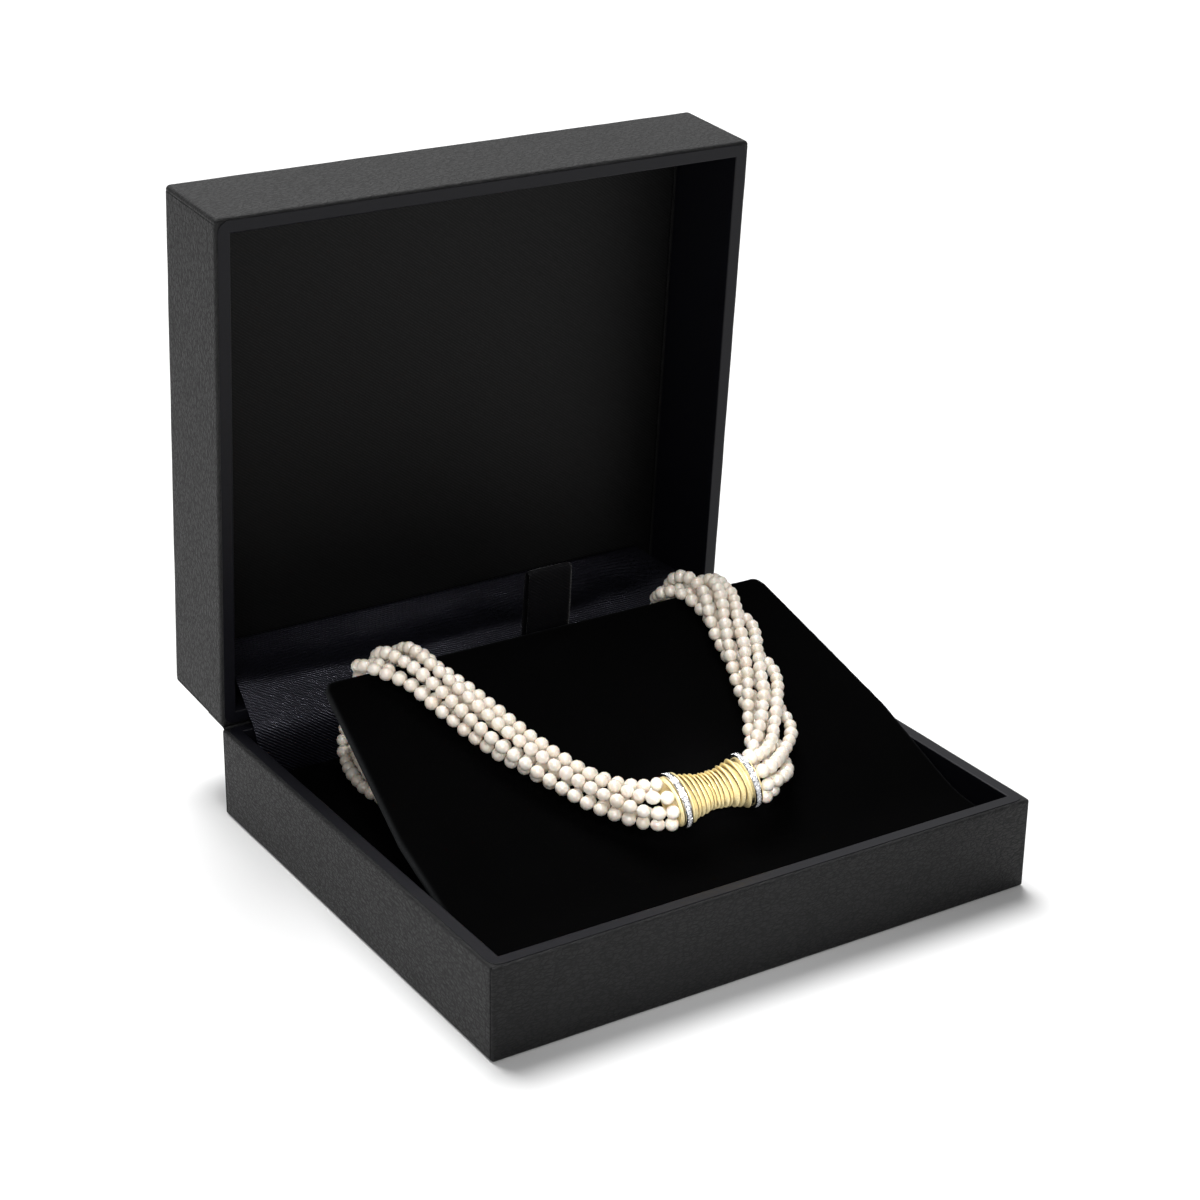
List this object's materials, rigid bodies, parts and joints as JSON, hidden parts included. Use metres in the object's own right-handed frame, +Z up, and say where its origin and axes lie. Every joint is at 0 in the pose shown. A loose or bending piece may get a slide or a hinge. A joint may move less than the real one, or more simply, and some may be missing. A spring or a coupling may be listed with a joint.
{
  "type": "multi-strand pearl necklace in a hinged jewellery box",
  "caption": "Twisted multi-strand pearl necklace with a ribbed gold barrel clasp between two stone-set rings, lying over the raised flap of an open hinged presentation box.",
  "frame": {"origin": "middle of the flat underside of the box's tray", "axes": "+X along the box's width, to the right of someone facing its open front; -Y towards that front; +Z up, out of the tray"},
  "size_m": [0.18, 0.1946, 0.1916],
  "materials": {
    "leatherette": "fine-grained charcoal leatherette",
    "velvet": "short-piled black velvet",
    "satin": "blue-black twill satin",
    "black_board": "paper-covered board",
    "pearl": "cream-white nacre with a faint pink overtone",
    "yellow_gold": "polished yellow gold",
    "white_gold": "polished white gold",
    "white_stone": "brilliant-cut clear stones",
    "silk_thread": "fine silk thread"
  },
  "bodies": {
    "root": {"case_tray": "leatherette", "tray_liner": "black_board", "platform_pad": "velvet", "display_flap": "velvet", "flap_strut": "black_board", "pull_tab": "satin", "satin_gusset": "satin", "clasp_barrel": "yellow_gold", "pave_ring_left": "white_gold", "pave_ring_right": "white_gold", "pearl_strand_1": "pearl", "pearl_strand_2": "pearl", "pearl_strand_3": "pearl", "pearl_strand_4": "pearl", "pearl_strand_5": "pearl", "pearl_strand_6": "pearl"},
    "lid": {"lid_shell": "leatherette", "lid_liner": "black_board", "lid_panel": "satin"}
  },
  "joints": [
    {"name": "lid_hinge", "type": "hinge", "parent": "root", "child": "lid", "pos_m": [0, 0.0805, 0.0286], "axis": [1, 0, 0], "range_deg": [0, 60], "deforming": ["satin_gusset"]}
  ]
}
